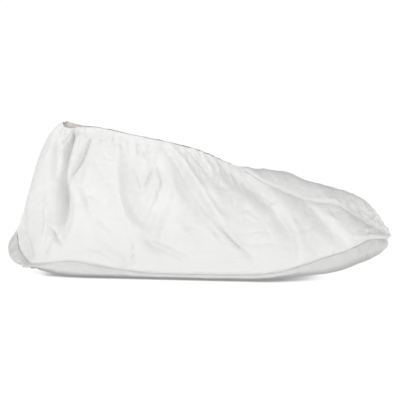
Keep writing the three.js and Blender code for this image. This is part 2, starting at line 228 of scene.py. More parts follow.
def step(across):
    """Drops on the right and comes back slowly."""
    beyond = np.maximum(across, 0)
    drop = (1 - np.exp(-(beyond / 1.5) ** 2)) * np.exp(-beyond / 7)
    return 0.22 * np.exp(-(across / 0.7) ** 2) - drop


def slump(across):
    """Slopes in slowly from the left, then comes back sharply."""
    left = np.exp(-(np.minimum(across, 0) / 2.0) ** 2)
    right = np.exp(-(np.maximum(across, 0) / 0.6) ** 2)
    return 0.2 * np.exp(-((across - 1.4) / 0.9) ** 2) - np.where(across < 0, left, right)


FOLD_GAIN = 1.3                # how pronounced the folds are
# The height of each kind of fold, by the place across it counted in its own width.
FOLD_SHAPES = {
    "valley": valley, "ridge": ridge, "crease": crease, "tuck": tuck, "step": step, "slump": slump,
}


# ---- Reading the tables ----

def column_slopes():
    """Slope of every column at every row, level wherever the column turns."""
    change = np.diff(SECTIONS, axis=0)
    before, after = change[:-1], change[1:]
    product = before * after
    total = np.where(product > 0, before + after, 1)
    slopes = np.zeros_like(SECTIONS)
    slopes[1:-1] = np.where(product > 0, 2 * product / total, 0)
    slopes[0], slopes[-1] = change[0], change[-1]
    return slopes


SECTION_SLOPES = column_slopes()


def sections_at(places):
    """The table's columns at each place, as a dictionary of arrays."""
    places = np.clip(places, 0, LAST_SECTION)
    index = np.minimum(places.astype(int), LAST_SECTION - 1)
    t = (places - index)[:, None]
    rise = SECTIONS[index + 1] - SECTIONS[index]
    start, end = SECTION_SLOPES[index], SECTION_SLOPES[index + 1]
    bow = start * (1 - t) - end * t + rise * (2 * t - 1)
    values = SECTIONS[index] + rise * t + t * (1 - t) * bow
    return dict(zip(SECTION_COLUMNS, values.T))


def mix(first, second, share):
    return first + (second - first) * share


def smooth_step(low, high, value):
    t = np.clip((value - low) / (high - low), 0, 1)
    return t * t * (3 - 2 * t)


def unit(vectors):
    return vectors / np.maximum(np.linalg.norm(vectors, axis=-1, keepdims=True), 1e-12)


def outward_at(places, side):
    """Unit vectors that point out of the sole's outline in plan."""
    step_size = 0.02
    before, after = sections_at(places - step_size), sections_at(places + step_size)
    along_x = after["foot_x"] - before["foot_x"]
    along_half = after["foot_half"] - before["foot_half"]
    plan = unit(np.stack([-along_half, side * along_x, np.zeros_like(along_x)], 1))
    for end, direction in ((0, -1), (LAST_SECTION, 1)):
        straight = np.array([direction, 0, 0])
        away = smooth_step(0, 0.5, np.abs(places - end))[:, None]
        plan = unit(mix(straight, plan, away))
    return plan


def foot_points(places, side):
    """Points of the seam between panel and sole."""
    row = sections_at(places)
    return np.stack([row["foot_x"], side * row["foot_half"], row["foot_z"]], 1)


def bend(controls, shares):
    """Points of cubic curves. controls: four arrays of points; shares: along each curve."""
    t = shares[..., None]
    first, second, third, fourth = (points[:, None, :] for points in controls)
    return (
        first * (1 - t) ** 3 + second * 3 * t * (1 - t) ** 2
        + third * 3 * t ** 2 * (1 - t) + fourth * t ** 3
    )


def panel_controls(places, side):
    """The four points of the curve that runs up a panel at each section."""
    row = sections_at(places)
    foot = foot_points(places, side)
    is_far = float(side == FAR)
    top = np.stack([
        row["top_x"],
        row["top_y"] + is_far * row["mouth"],
        row["top_z"] - is_far * row["dip"],
    ], 1)
    height = top[:, 2] - foot[:, 2]
    across = np.abs(foot[:, 1] - top[:, 1])
    crown = is_far * row["crown"]
    crowned = np.minimum(crown / FULL_CROWN, 1)
    flare = FLARE * np.sqrt(np.clip(np.sin(np.pi * places / LAST_SECTION), 0, 1))
    low = foot + outward_at(places, side) * flare[:, None]
    low[:, 0] += LOW_ALONG * (top[:, 0] - foot[:, 0])
    low[:, 2] += mix(LOW_UP, CROWN_LOW_UP, crowned) * height
    side_share = mix(mix(TENT_CREST, DOME_CREST, row["dome"]), CROWN_CREST, crowned)
    drop_share = mix(TENT_DROP, DOME_DROP, row["dome"]) * (1 - crowned)
    high = top.copy()
    high[:, 0] += HIGH_ALONG * (foot[:, 0] - top[:, 0]) + row["push"]
    high[:, 1] += side * side_share * across
    high[:, 2] += CROWN_LIFT * crown - drop_share * height
    return foot, low, high, top


def spring(shape, distance):
    """How high the sole has risen at a distance beyond the start of its rise."""
    _, length, rise, power = shape
    return rise * (np.maximum(distance, 0) / length) ** power


def keel_at(x):
    """Height of the sole's underside."""
    return spring(HEEL_SPRING, HEEL_SPRING[0] - x) + spring(TOE_SPRING, x - TOE_SPRING[0])


def curl_controls(places, side):
    """The curve from the seam, out round the lip and in to the flat of the sole."""
    foot = foot_points(places, side)
    hub = np.clip(foot[:, 0], HEEL_HUB, TOE_HUB)
    heel_reach, toe_reach = SECTIONS[0, 0] - HEEL_HUB, SECTIONS[-1, 0] - TOE_HUB
    endness = (foot[:, 0] - hub) / np.where(hub < 0, heel_reach, toe_reach)
    at_heel = hub < 0
    inward = mix(SIDE_CURL, np.where(at_heel, HEEL_CURL, TOE_CURL), endness)[:, None]
    flat = mix(foot, np.stack([hub, np.zeros_like(hub), foot[:, 2]], 1), inward)
    flat[:, 2] = keel_at(flat[:, 0])
    rise = foot[:, 2] - flat[:, 2]
    lip = mix(SIDE_LIP, np.where(at_heel, HEEL_LIP, TOE_LIP), endness ** 2)
    upper = foot + outward_at(places, side) * lip[:, None]
    upper[:, 2] -= mix(SIDE_DROP, np.where(at_heel, HEEL_DROP, TOE_DROP), endness ** 2) * rise
    lower = mix(flat, foot, CURL_FOOT)
    lower[:, 2] = flat[:, 2] + CURL_SWELL * rise * endness
    return foot, upper, lower, flat


# ---- Grids of points ----

PANEL_COLUMNS = 350            # cloth facets from heel to toe
PANEL_ROWS = 124               # and up a panel
CURL_ROWS = 26                 # up the curled edge of the sole
FLAT_ROWS = 46                 # across the flat of the sole
TAPE_COLUMNS = 260             # round the loop of tape
TAPE_ROWS = 9                  # and up the tape


def closer_at_ends(count, pull):
    """Numbers from 0 to 1 that lie closer together at both ends."""
    even = np.linspace(0, 1, count + 1)
    return even - pull / (2 * math.pi) * np.sin(2 * math.pi * even)


def way_along(points, axis):
    """How far each point of a grid lies along its row or column, in millimetres."""
    steps = np.linalg.norm(np.diff(points, axis=axis), axis=-1)
    start = np.zeros_like(np.take(steps, [0], axis=axis))
    return np.concatenate([start, np.cumsum(steps, axis=axis)], axis=axis)


def even_places():
    """Places from heel to toe, so that the cloth's columns lie about evenly."""
    fine = np.linspace(0, LAST_SECTION, 1801)
    travel = np.zeros_like(fine)
    for share in (0.02, 0.35, 0.7, 0.98):
        curve = bend(panel_controls(fine, NEAR), np.full((len(fine), 1), share))
        travel += way_along(curve[:, 0], 0)
    return np.interp(closer_at_ends(PANEL_COLUMNS, 0.55), travel / travel[-1], fine)


def grid_normals(points, outward_sign):
    """The outward direction at each point of a grid."""
    along = np.gradient(points, axis=0)
    across = np.gradient(points, axis=1)
    return unit(np.cross(along, across)) * outward_sign


def smooth_path(corners):
    """A smooth line through the corners, with a point about every 1.5 mm."""
    corners = np.array(corners, float)
    before, after = 2 * corners[:1] - corners[1:2], 2 * corners[-1:] - corners[-2:-1]
    padded = np.concatenate([before, corners, after])
    line = []
    for index in range(len(corners) - 1):
        a, b, c, d = padded[index:index + 4]
        count = max(2, int(np.linalg.norm(c - b) / 1.5))
        t = np.linspace(0, 1, count, endpoint=False)[:, None]
        line.append(0.5 * (
            2 * b + (c - a) * t + (2 * a - 5 * b + 4 * c - d) * t ** 2
            + (3 * b - a - 3 * c + d) * t ** 3
        ))
    return np.concatenate([*line, corners[-1:]])


def nearest_on(path, places):
    """Signed distance to a line, positive on its left hand when it runs down, and the share
    of the line's length at the nearest point."""
    start, change = path[:-1], np.diff(path, axis=0)
    length = np.linalg.norm(change, axis=1)
    offset = places[:, None] - start
    t = np.clip((offset * change).sum(-1) / length ** 2, 0, 1)
    gap = offset - change * t[..., None]
    distance = np.linalg.norm(gap, axis=-1)
    nearest = distance.argmin(1)
    pick = np.arange(len(places)), nearest
    turned = np.stack([-change[:, 1], change[:, 0]], 1)[nearest]
    side = np.sign((gap[pick] * turned).sum(-1))
    travelled = np.concatenate([[0], np.cumsum(length)])
    share = (travelled[nearest] + t[pick] * length[nearest]) / travelled[-1]
    return distance[pick] * side, share


def heading(angle):
    return np.array([math.cos(angle), math.sin(angle)])


def fades_at_both_ends(share):
    return np.sin(np.pi * np.clip(share, 0.02, 0.98)) ** 0.55


def fades_at_low_end(share):
    return (1 - share) ** 0.8


def fold_relief(flat, folds, fade=fades_at_both_ends):
    """How far the folds raise or draw in the cloth at each place of its flat drawing."""
    places = flat.reshape(-1, 2)
    relief = np.zeros(len(places))
    for kind, depth, width, *corners in folds:
        path = smooth_path(corners)
        reach = 5 * abs(width)
        inside = ((places > path.min(0) - reach) & (places < path.max(0) + reach)).all(1)
        distance, share = nearest_on(path, places[inside])
        relief[inside] += depth * FOLD_SHAPES[kind](distance / width) * fade(share)
    return relief.reshape(flat.shape[:2])


def soft_waves(flat, seed, count, shortest, longest, height):
    """Gentle unevenness: waves in random directions, each as high as it is long."""
    rng = np.random.default_rng(seed)
    waves = np.zeros(flat.shape[:2])
    for _ in range(count):
        length = math.exp(rng.uniform(math.log(shortest), math.log(longest)))
        angle, phase = rng.uniform(0, 2 * math.pi, 2)
        along = flat[..., 0] * math.cos(angle) + flat[..., 1] * math.sin(angle)
        waves += height * length / longest * np.sin(2 * math.pi * along / length + phase)
    return waves / math.sqrt(count / 2)


def crumple_folds(seed, count, low, high, depth):
    """Short creases left by handling, in random directions."""
    rng = np.random.default_rng(seed)
    folds = []
    for _ in range(count):
        start = rng.uniform(low, high)
        angle = rng.normal(-1.1, 0.9)
        length = rng.uniform(5, 20)
        turn = rng.normal(0, 0.35)
        middle = start + length / 2 * heading(angle)
        end = middle + length / 2 * heading(angle + turn)
        kind = ("crease", "ridge", "tuck", "valley")[rng.integers(4)]
        width = rng.uniform(0.9, 2.2) * rng.choice([-1, 1])
        folds.append((kind, depth * rng.uniform(0.3, 1), width, start, middle, end))
    return folds


def hand_lines(seed, count, low, high, depth):
    """Fine creases that run along the cover."""
    rng = np.random.default_rng(seed)
    folds = []
    for _ in range(count):
        start = rng.uniform(low, high)
        length = rng.uniform(8, 30)
        rise = rng.normal(0, 0.05, 2) * length
        folds.append((
            "crease", depth * rng.uniform(0.4, 1), rng.uniform(0.8, 1.3),
            start, start + (length / 2, rise[0]), start + (length, rise[1]),
        ))
    return folds


# Where the creases at the toe's tip start, between which angles they lie, and how many.
TIP_FANS = {NEAR: ((168, 31), (150, 178), 5), FAR: ((168, 26), (118, 250), 19)}
TIP_GAIN = {NEAR: 1, FAR: 1.5}


def tip_folds(side, seed):
    """Sharp creases that spread from the tip of the toe, where the three pieces meet."""
    rng = np.random.default_rng(seed)
    tip, spread, count = TIP_FANS[side]
    folds = []
    for angle in np.linspace(*spread, count):
        way = math.radians(angle + rng.normal(0, 2))
        reach = rng.uniform(14, 34)
        bow = rng.normal(0, 0.06)
        start = tip + 4 * heading(way)
        middle = tip + 0.5 * reach * heading(way + bow)
        end = tip + reach * heading(way)
        kind = ("crease", "ridge", "tuck")[rng.integers(3)]
        depth = rng.uniform(0.4, 0.9) * TIP_GAIN[side]
        folds.append((kind, depth, rng.uniform(0.7, 1.2), start, middle, end))
    return folds


def gather_folds(side, seed, count, depth):
    """Pleats that run down from the hem where the elastic draws the rim in."""
    rng = np.random.default_rng(seed)
    shares = (np.arange(count) + rng.uniform(0.1, 0.9, count)) / count
    places = mix(0.2, MOUTH_FRONT - 0.1, shares)
    foot, _, _, top = panel_controls(places, side)
    down = unit((foot - top)[:, [0, 2]])
    folds = []
    for start, way in zip(top[:, [0, 2]], down):
        lean = rng.normal(0, 0.28)
        turned = np.array([way[0] - way[1] * lean, way[1] + way[0] * lean])
        length = rng.uniform(5, 24)
        kind = ("valley", "tuck", "crease", "ridge")[rng.integers(4)]
        width = rng.uniform(0.7, 2.0) * rng.choice([-1, 1])
        high = start + way * rng.uniform(0, 4)
        folds.append((
            kind, depth * rng.uniform(0.4, 1), width,
            high, high + turned * length * 0.5, high + turned * length,
        ))
    return folds


# ---- Draping ----

SEAM_WIDTH = 1.7               # half the width of the groove along a seam
SEAM_GROOVE, SOLE_GROOVE = 1.3, 0.8   # how deep it is on a panel and on the sole
INSTEP_GROOVE = {NEAR: 2.4, FAR: 0.6}  # how much deeper at the instep seam itself
INSTEP_WIDTH = 1.1             # how far that reaches into the panel
PANEL_PUCKER, SOLE_PUCKER = 4.5, 4     # how far the cloth puckers beside a seam
SEAM_EASE = 2.5                # how far the shared direction at a seam reaches into the cloth
HEM_DEPTH = 6.5                # from the rim to the hem's row of stitches
HEM_STEP, STITCH_DENT = 0.05, 0.14     # how far the hem stands out, and the stitches press in


@functools.lru_cache(maxsize=1)
def cover_shape():
    """The cloth of the cover as grids of points in millimetres, before it has thickness."""
    places = even_places()
    rows = np.broadcast_to(closer_at_ends(PANEL_ROWS, 0.5), (len(places), PANEL_ROWS + 1))
    points, normals = {}, {}
    for side in (NEAR, FAR):
        points[side] = bend(panel_controls(places, side), rows)
        normals[side] = grid_normals(points[side], -side)
    sole, sole_normals = sole_shape(places)

    on_seam = places > MOUTH_FRONT - 0.2
    for edge in ((0, slice(None)), (-1, slice(None)), (on_seam, -1)):
        shared = unit(normals[NEAR][edge] + normals[FAR][edge])
        normals[NEAR][edge] = normals[FAR][edge] = shared
    for side, edge in ((NEAR, 0), (FAR, -1)):
        shared = unit(normals[side][:, 0] + sole_normals[:, edge])
        normals[side][:, 0] = sole_normals[:, edge] = shared

    made = {"places": places}
    for side in (NEAR, FAR):
        made[side] = draped_panel(side, places, points[side], normals[side])
    made["sole"] = draped_sole(sole, sole_normals)
    return made


def eased_normals(normals, distances):
    """Lets the shared direction at an edge blend into the cloth's own beside it."""
    eased = normals.copy()
    for distance, edge_normals in distances:
        share = np.exp(-(distance / SEAM_EASE) ** 2)[..., None]
        eased = unit(mix(eased, edge_normals, share))
    return eased


def beside_seam(distance, reach):
    """0 on a seam, nearly 1 just beside it and 0 again well beyond the reach."""
    return np.exp(-distance / reach) * smooth_step(0, 1.6, distance)


def draped_panel(side, places, points, normals):
    """A panel with its folds, and how far down from its upper edge each point lies."""
    from_foot = way_along(points, 1)
    from_top = from_foot[:, -1:] - from_foot
    from_heel = way_along(points, 0)
    from_toe = from_heel[-1:] - from_heel
    on_seam = smooth_step(MOUTH_FRONT - 0.7, MOUTH_FRONT + 0.2, places)[:, None]
    far_away = 60
    from_instep = from_top + (1 - on_seam) * far_away
    if side == NEAR:
        flat = points[..., [0, 2]]
        folds, back_low = NEAR_FOLDS, 8
    else:
        flat = np.stack([points[..., 0], points[:, -1:, 2] - from_top], -1)
        folds, back_low = FAR_FOLDS, -10
    relief = FOLD_GAIN * fold_relief(flat, folds)
    crumples = crumple_folds(
        seed=11 + side, count=560, low=(-165, back_low), high=(165, 130), depth=0.6,
    )
    crumples += hand_lines(seed=71 + side, count=34, low=(-30, 8), high=(46, 46), depth=0.7)
    crumples += tip_folds(side, seed=61 + side)
    relief += fold_relief(flat, crumples)
    relief += soft_waves(flat, seed=21 + side, count=14, shortest=14, longest=60, height=0.7)
    if side == FAR:
        over_toe = smooth_step(70, 130, flat[..., 0])
        relief += over_toe * soft_waves(
            flat, seed=33, count=12, shortest=5, longest=16, height=0.2,
        )
    pleats = gather_folds(side, seed=31 + side, count=120, depth=1.1)
    below_hem = smooth_step(HEM_DEPTH - 2, HEM_DEPTH + 2, from_top)
    relief += fold_relief(flat, pleats, fades_at_low_end) * mix(0.85, 1, below_hem)

    # The seams and the rim hold the cloth, so the folds die away towards them.
    calm = mix(0.7, 1, smooth_step(0, 12, from_top))
    for distance, reach in ((from_foot, 7), (from_heel, 4), (from_toe, 4), (from_instep, 6)):
        calm = calm * smooth_step(0, reach, distance)
    relief = relief * calm

    pucker = soft_waves(
        np.stack([from_heel, from_foot * 0.2], -1),
        seed=41 + side, count=16, shortest=4, longest=14, height=0.5,
    )
    off_tips = smooth_step(0, 9, from_toe) * smooth_step(0, 5, from_heel)
    seams = (from_foot, from_instep, from_heel, from_toe)
    for distance in seams:
        relief += pucker * beside_seam(distance, PANEL_PUCKER) * off_tips
    nearest = np.minimum.reduce(seams)
    groove = SEAM_GROOVE * np.exp(-(nearest / SEAM_WIDTH) ** 2)
    relief -= groove * mix(0.3, 1, off_tips)
    relief -= INSTEP_GROOVE[side] * np.exp(-from_instep / INSTEP_WIDTH) * off_tips
    hem = 1 - on_seam
    above_stitches = 1 - smooth_step(HEM_DEPTH - 0.6, HEM_DEPTH + 0.6, from_top)
    relief += hem * HEM_STEP * above_stitches
    relief -= hem * STITCH_DENT * np.exp(-((from_top - HEM_DEPTH) / 0.9) ** 2)

    edges = (
        (from_foot, normals[:, :1]), (from_heel, normals[:1]), (from_toe, normals[-1:]),
        (from_instep, normals[:, -1:]),
    )
    raised = points + eased_normals(normals, edges) * relief[..., None]
    return {"points": raised, "from_top": from_top}


def sole_shape(places):
    """Points across the sole at each place, from the near seam to the far seam."""
    even = np.linspace(0, 1, CURL_ROWS + 1)
    curl = np.broadcast_to(even ** 1.35, (len(places), CURL_ROWS + 1))
    near = bend(curl_controls(places, NEAR), curl)
    far = bend(curl_controls(places, FAR), curl)[:, ::-1]
    share = np.linspace(0, 1, FLAT_ROWS + 1)[1:-1, None]
    flat = mix(near[:, -1:], far[:, :1], share)
    points = np.concatenate([near, flat, far], 1)
    normals = grid_normals(points, -1)
    middle = points.shape[1] // 2
    for end, inner in ((0, 1), (-1, -2)):
        normals[end, CURL_ROWS:-CURL_ROWS] = normals[inner, middle]
        both = normals[end] + normals[end, ::-1]
        both[:, 1] = 0
        normals[end] = unit(both)
    return points, normals


def draped_sole(points, normals):
    """The sole with its unevenness, kept above the floor."""
    from_near = way_along(points, 1)
    from_far = from_near[:, -1:] - from_near
    flat = points[..., :2]
    relief = soft_waves(flat, seed=51, count=14, shortest=12, longest=60, height=0.35)
    for seed, count, low, high, depth in (
        (52, 90, (-160, -58), (160, 58), 0.3),      # all over
        (54, 90, (-170, -36), (-138, 36), 1.2),     # heel lip
        (55, 60, (132, -44), (168, 44), 0.45),      # toe
    ):
        relief += fold_relief(flat, crumple_folds(seed, count, low, high, depth))
    lifted = smooth_step(0.5, 4, points[..., 2])
    from_edge = np.minimum(from_near, from_far)
    relief = relief * smooth_step(0, 6, from_edge) * mix(0.12, 1, lifted)
    pucker = soft_waves(flat, seed=53, count=14, shortest=4, longest=12, height=0.4)
    relief += pucker * beside_seam(from_edge, SOLE_PUCKER)
    for distance in (from_near, from_far):
        relief -= SOLE_GROOVE * np.exp(-(distance / SEAM_WIDTH) ** 2)
    for end in (0, -1):
        relief[end] = (relief[end] + relief[end, ::-1]) / 2
    edges = ((from_near, normals[:, :1]), (from_far, normals[:, -1:]))
    raised = points + eased_normals(normals, edges) * relief[..., None]
    raised[..., 2] = np.maximum(raised[..., 2], 0)
    return raised


def rows_below_edge(from_top, depth):
    """The row number, with a fraction, that lies at a depth below each column's upper edge."""
    numbers = np.arange(from_top.shape[1])
    depths = np.broadcast_to(depth, len(from_top))
    return np.array([
        np.interp(down, column[::-1], numbers[::-1]) for down, column in zip(depths, from_top)
    ])


def sample(grid, places, column_places, row_numbers):
    """Points of a grid between its own rows and columns."""
    column = np.interp(column_places, places, np.arange(len(places)))
    low_column = np.minimum(column.astype(int), grid.shape[0] - 2)
    low_row = np.minimum(row_numbers.astype(int), grid.shape[1] - 2)
    s, t = (column - low_column)[:, None], (row_numbers - low_row)[:, None]
    first = mix(grid[low_column, low_row], grid[low_column + 1, low_row], s)
    second = mix(grid[low_column, low_row + 1], grid[low_column + 1, low_row + 1], s)
    return mix(first, second, t)


# ---- Meshes ----

def grid_faces(columns, rows, ring=False):
    """Quads of a grid of points, with the first column met again after the last in a ring."""
    number = np.arange(columns * rows).reshape(columns, rows)
    following = np.roll(number, -1, axis=0) if ring else number[1:]
    start = number if ring else number[:-1]
    quads = np.stack([start[:, :-1], following[:, :-1], following[:, 1:], start[:, 1:]], -1)
    return quads.reshape(-1, 4)


def new_piece(name, vertices, faces):
    """A piece from points in metres and lists of their numbers."""
    if not faces:
        raise RuntimeError(f"{name} has no faces")
    mesh = bpy.data.meshes.new(name)
    mesh.from_pydata(vertices.reshape(-1, 3).tolist(), [], faces)
    piece = bpy.data.objects.new(name, mesh)
    bpy.context.scene.collection.objects.link(piece)
    return piece


WELD_GAP = 1e-6                # points nearer to each other than this become one
SHARP_ANGLE = math.radians(55)  # edges sharper than this aren't smoothed


def cloth_mesh(name, points, outward_sign, thickness, ring=False):
    """A closed thin wall from a grid of outside points in millimetres."""
    columns, rows = points.shape[:2]
    faces = grid_faces(columns, rows, ring)
    if outward_sign < 0:
        faces = faces[:, ::-1]
    piece = new_piece(name, points * MM, faces.tolist())
    weld = piece.modifiers.new("weld", "WELD")
    weld.merge_threshold = WELD_GAP
    wall = piece.modifiers.new("wall", "SOLIDIFY")
    wall.thickness = thickness
    wall.offset = -1
    apply_modifiers(piece)
    piece.data.shade_smooth()
    piece.data.set_sharp_from_angle(angle=SHARP_ANGLE)
    return piece


def apply_modifiers(piece):
    evaluated = piece.evaluated_get(bpy.context.evaluated_depsgraph_get())
    made = bpy.data.meshes.new_from_object(evaluated)
    made.name = piece.name
    was = piece.data
    piece.modifiers.clear()
    piece.data = made
    bpy.data.meshes.remove(was)


THREAD_SIDES, THREAD_RINGS = 6, 7


def thread_capsules(starts, ends, ups, radius, rise):
    """Short bowed threads between pairs of points, as one set of vertices and faces."""
    sides, rings = THREAD_SIDES, THREAD_RINGS
    share = np.linspace(0, 1, rings)
    bow = np.sin(np.pi * share) * rise
    fat = radius * np.sin(np.pi * np.clip(share, 0.06, 0.94)) ** 0.3
    spine = mix(starts[:, None], ends[:, None], share[None, :, None])
    spine = spine + ups[:, None] * bow[None, :, None]
    along = unit(ends - starts)
    sideways = unit(np.cross(along, ups))
    angle = 2 * np.pi * np.arange(sides) / sides
    ring = (
        sideways[:, None, None] * np.cos(angle)[None, None, :, None]
        + ups[:, None, None] * np.sin(angle)[None, None, :, None]
    ) * fat[None, :, None, None]
    body = spine[:, :, None] + ring
    count = len(starts)
    vertices = np.concatenate([body.reshape(count, -1, 3), spine[:, :1], spine[:, -1:]], 1)
    number = np.arange(rings * sides).reshape(rings, sides)
    after = np.roll(number, -1, axis=1)
    quads = np.stack([number[:-1], after[:-1], after[1:], number[1:]], -1).reshape(-1, 4)
    first, last = rings * sides, rings * sides + 1
    caps = [(first, after[0, i], number[0, i]) for i in range(sides)]
    caps += [(last, number[-1, i], after[-1, i]) for i in range(sides)]
    faces = []
    per_thread = rings * sides + 2
    for thread in range(count):
        faces += (quads + thread * per_thread).tolist()
        faces += [tuple(corner + thread * per_thread for corner in cap) for cap in caps]
    return vertices.reshape(-1, 3), faces


def resampled(line, spacing):
    """Points along a line at an even spacing."""
    travel = way_along(line, 0)
    wanted = np.arange(spacing / 2, travel[-1], spacing)
    return np.stack([np.interp(wanted, travel, values) for values in line.T], 1)


# ---- Materials ----

RIB_PITCH = 1.1 * MM           # from one rib of the elastic to the next


class Wire:
    """A shader socket that ordinary arithmetic works on."""

    def __init__(self, tree, socket):
        self.tree = tree
        self.socket = socket

    def node(self, kind, settings=None, inputs=None, output=0):
        """Adds a node, sets it up, fills or links its sockets and gives one of its outputs."""
        made = self.tree.nodes.new(kind)
        for name, value in (settings or {}).items():
            if name == "stops":
                set_stops(made.color_ramp, value)
            else:
                setattr(made, name, value)
        for name, value in (inputs or {}).items():
            if isinstance(value, Wire):
                self.tree.links.new(value.socket, made.inputs[name])
            else:
                made.inputs[name].default_value = value
        return Wire(self.tree, made.outputs[output])

    def math(self, operation, *values):
        return self.node("ShaderNodeMath", {"operation": operation}, dict(enumerate(values)))

    def __add__(self, other):
        return self.math("ADD", self, other)

    __radd__ = __add__

    def __mul__(self, other):
        return self.math("MULTIPLY", self, other)

    __rmul__ = __mul__

    def __sub__(self, other):
        return self.math("SUBTRACT", self, other)

    def __rsub__(self, other):
        return self.math("SUBTRACT", other, self)


def set_stops(band, stops):
    while len(band.elements) < len(stops):
        band.elements.new(1)
    for element, (position, grey) in zip(band.elements, stops):
        element.position = position
        element.color = (grey, grey, grey, 1)


def new_material(name, **sockets):
    """A material with a Principled shader whose even sockets are set, and its starting wire."""
    material = bpy.data.materials.new(name)
    material.use_nodes = True
    tree = material.node_tree
    shader = next(node for node in tree.nodes if node.type == "BSDF_PRINCIPLED")
    for socket, value in sockets.items():
        shader.inputs[socket.replace("_", " ")].default_value = value
    place = Wire(tree, tree.nodes.new("ShaderNodeTexCoord").outputs["Object"])
    return material, shader, place


def feed(shader, socket, wire):
    wire.tree.links.new(wire.socket, shader.inputs[socket])


def noise(place, scale, detail=2, distortion=0.0, roughness=0.5):
    return place.node("ShaderNodeTexNoise", {}, {
        "Vector": place, "Scale": scale, "Detail": detail, "Distortion": distortion,
        "Roughness": roughness,
    })


def cells(place, scale, feature="DISTANCE_TO_EDGE"):
    return place.node(
        "ShaderNodeTexVoronoi", {"feature": feature}, {"Vector": place, "Scale": scale},
    )


def stretched(place, sizes):
    """The place with each axis scaled by its own amount."""
    return place.node("ShaderNodeMapping", {}, {"Vector": place, "Scale": sizes})


def shifted(place, amount, scale):
    """The place pushed about by a soft noise, so that a pattern on it isn't regular."""
    push = place.node(
        "ShaderNodeTexNoise", {}, {"Vector": place, "Scale": scale, "Detail": 2}, "Color",
    )
    centred = push.node(
        "ShaderNodeVectorMath", {"operation": "SUBTRACT"}, {0: push, 1: (0.5, 0.5, 0.5)},
    )
    moved = push.node(
        "ShaderNodeVectorMath", {"operation": "SCALE"}, {0: centred, "Scale": amount},
    )
    return place.node("ShaderNodeVectorMath", {"operation": "ADD"}, {0: place, 1: moved})


def ramp(value, *stops):
    """A grey that goes through the stops, each a value and its grey."""
    return value.node("ShaderNodeValToRGB", {"stops": stops}, {0: value})


def axis_of(vector, axis):
    return vector.node("ShaderNodeSeparateXYZ", {}, {0: vector}, axis)


def blended(share, first, second):
    """A colour between two, each a colour or a wire, by a share from 0 to 1."""
    first, second = (end if isinstance(end, Wire) else (*end, 1) for end in (first, second))
    return share.node(
        "ShaderNodeMix", {"data_type": "RGBA"}, {"Factor": share, 6: first, 7: second}, 2,
    )


def dimmed(colour, amount):
    """A colour with its brightness multiplied."""
    return tuple(min(1, channel * amount) for channel in colour)


def open_to_air(place, distance):
    """1 in the open and 0 deep in a gap no wider than the distance."""
    return place.node("ShaderNodeAmbientOcclusion", {"samples": 8}, {"Distance": distance}, "AO")


def bumped(height, distance, strength=1.0, under=None):
    inputs = {"Height": height, "Distance": distance, "Strength": strength}
    if under is not None:
        inputs["Normal"] = under
    return height.node("ShaderNodeBump", {}, inputs)


def nonwoven_material(colour):
    """Matt white sheet of fine melted fibres, with handling creases, a faint sheen and painted
    shade low down.
    """
    material, shader, place = new_material(
        "nonwoven_cloth", IOR=1.46, Sheen_Weight=0.06, Sheen_Roughness=0.5,
    )
    cloud = noise(place, 55, 4, 0.6)
    swirl = noise(stretched(place, (420, 420, 420)), 1, 5, 2.6, 0.62)
    mottle = noise(place, 210, 3)
    tone = ramp(cloud * 0.45 + swirl * 0.35 + mottle * 0.2, (0.36, 0), (0.6, 1))
    unshaded_colour = blended(tone, dimmed(colour, 0.95), dimmed(colour, 1.015))
    # Painted shade: the cloth's colour is dimmed towards the floor, below about 60 mm.
    clear_of_floor_shade = ramp(axis_of(place, "Z"), (12 * MM, 0), (60 * MM, 1))
    feed(shader, "Base Color", blended(clear_of_floor_shade, dimmed(colour, 0.915), unshaded_colour))
    feed(shader, "Roughness", 0.46 + 0.2 * mottle)
    facets = cells(shifted(place, 12 * MM, 45), 85) + 0.5 * cells(shifted(place, 6 * MM, 120), 210)
    fibres = noise(stretched(place, (1500, 1500, 1500)), 1, 3, 2.0)
    relief = bumped(facets, 0.9 * MM, 0.5)
    feed(shader, "Normal", bumped(fibres, 0.12 * MM, 0.35, relief))
    return material


def sole_material(colour):
    """Satin coated cloth with a fine pressed grip, and painted shade where it meets the floor and
    where it faces down.
    """
    material, shader, place = new_material("coated_sole_cloth", IOR=1.47, Coat_Roughness=0.4)
    cloud = noise(place, 40, 4, 0.4)
    speck = noise(place, 700, 2)
    tone = ramp(cloud * 0.7 + speck * 0.3, (0.3, 0), (0.7, 1))
    unshaded_colour = blended(tone, dimmed(colour, 0.9), dimmed(colour, 1.03))
    # Painted shade: the colour darkens where the floor is near and where the sole faces down,
    # standing in for the contact shadow.
    clear_of_contact_shade = ramp(open_to_air(place, 12 * MM), (0.04, 0), (0.24, 1))
    facing = place.node("ShaderNodeNewGeometry", output="Normal")
    clear_of_underside_shade = ramp(1 + axis_of(facing, "Z"), (0.3, 0), (0.62, 1))
    feed(shader, "Base Color", blended(clear_of_contact_shade * clear_of_underside_shade, dimmed(colour, 0.6), unshaded_colour))
    feed(shader, "Roughness", 0.38 + 0.2 * cloud)
    relief = bumped(cells(place, 620, "F1"), 0.25 * MM, 0.5)
    wrinkles = cells(shifted(place, 10 * MM, 60), 70, "F1")
    feed(shader, "Normal", bumped(wrinkles, 1 * MM, 0.2, relief))
    return material


def elastic_material(colour):
    """Knitted elastic tape: fine ribs along it and a soft mottled tone."""
    material, shader, place = new_material("elastic_tape", Sheen_Weight=0.15)
    turn = axis_of(place, "Z") * (2 * math.pi / RIB_PITCH)
    ribs = turn.math("SINE", turn)
    knit = noise(stretched(place, (700, 700, 2600)), 1, 2)
    tone = noise(place, 160, 3) * 0.5 + knit * 0.5
    feed(shader, "Base Color", blended(tone, dimmed(colour, 0.8), dimmed(colour, 1.05)))
    feed(shader, "Roughness", 0.75 + 0.15 * knit)
    feed(shader, "Normal", bumped(ribs * 0.5 + knit, 0.25 * MM, 0.6))
    return material


